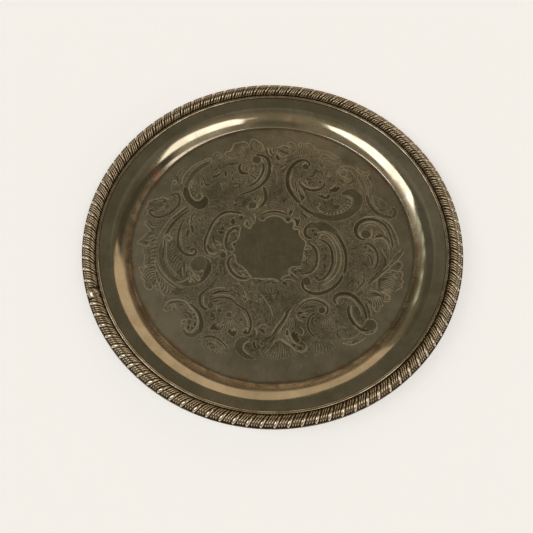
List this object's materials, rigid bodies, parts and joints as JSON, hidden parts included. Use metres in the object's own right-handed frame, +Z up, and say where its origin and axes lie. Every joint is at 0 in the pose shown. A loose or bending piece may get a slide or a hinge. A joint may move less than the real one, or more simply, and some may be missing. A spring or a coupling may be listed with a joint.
{
  "type": "offering plate",
  "caption": "Round silver-plated offering plate: flat ornamented well, leaning cavetto, sloping flange and an applied gadroon border.",
  "frame": {"origin": "centre of the underside of the floor, on the plate's axis", "axes": "+Z up along the plate's axis, towards the open well; +X to the right and +Y away from a viewer who reads the ornament upright"},
  "size_m": [0.311, 0.311, 0.0172],
  "materials": {
    "body_plate": "worn silver plate over copper alloy, polished with an even grey-brown tarnish; etched ornament slightly paler and duller",
    "border_plate": "silver plate, bright on the high points with near-black brown tarnish in the hollows",
    "solder": "dull grey lead-tin solder"
  },
  "bodies": {
    "root": {"plate_body": "body_plate", "bead_moulding": "border_plate", "gadroon_border": "border_plate", "seam_solder": "solder", "border_fill": "solder", "rim_wire": "border_plate"}
  },
  "joints": []
}
